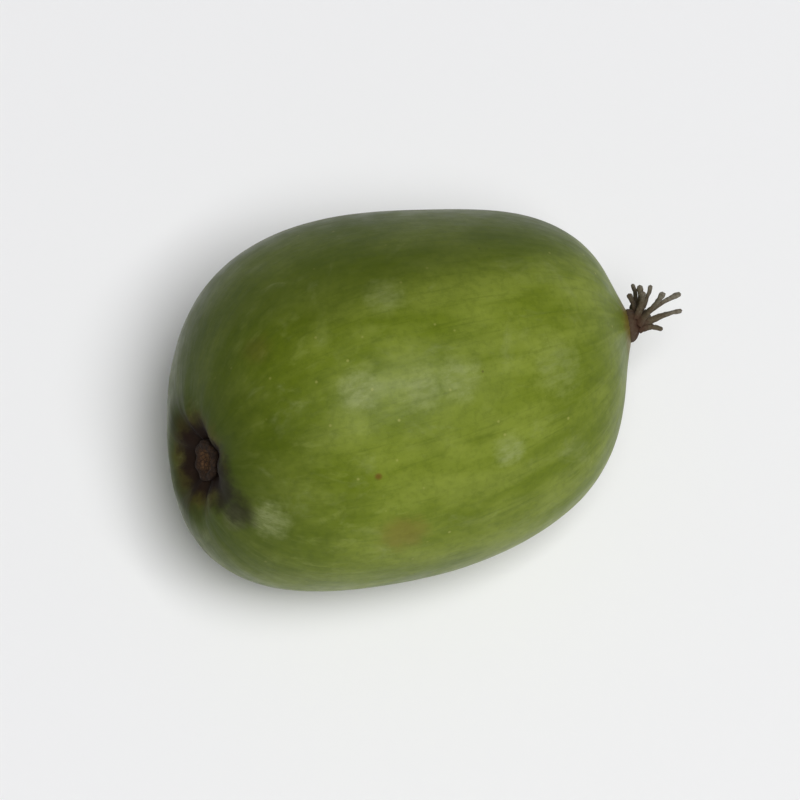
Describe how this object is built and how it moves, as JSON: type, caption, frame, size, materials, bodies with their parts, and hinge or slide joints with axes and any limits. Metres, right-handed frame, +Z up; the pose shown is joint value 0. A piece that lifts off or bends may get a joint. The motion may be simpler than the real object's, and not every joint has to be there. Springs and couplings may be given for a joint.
{
  "type": "kiwi berry",
  "caption": "Smooth-skinned oval kiwi berry lying on its side, with a corky stem scar in a puckered pit at one end and a tuft of dried styles at the other.",
  "frame": {"origin": "on the surface the fruit rests on, under the middle of its bounding box", "axes": "+X along the fruit from the stem end to the end with the dried styles, +Z up, away from the flat spot it rests on"},
  "size_m": [0.0334, 0.023, 0.0217],
  "materials": {
    "skin": "satin",
    "dried_styles": "matte",
    "stem_scar": "matte"
  },
  "bodies": {
    "root": {"berry": "skin", "dried_styles": "dried_styles", "stem_scar": "stem_scar"}
  },
  "joints": []
}
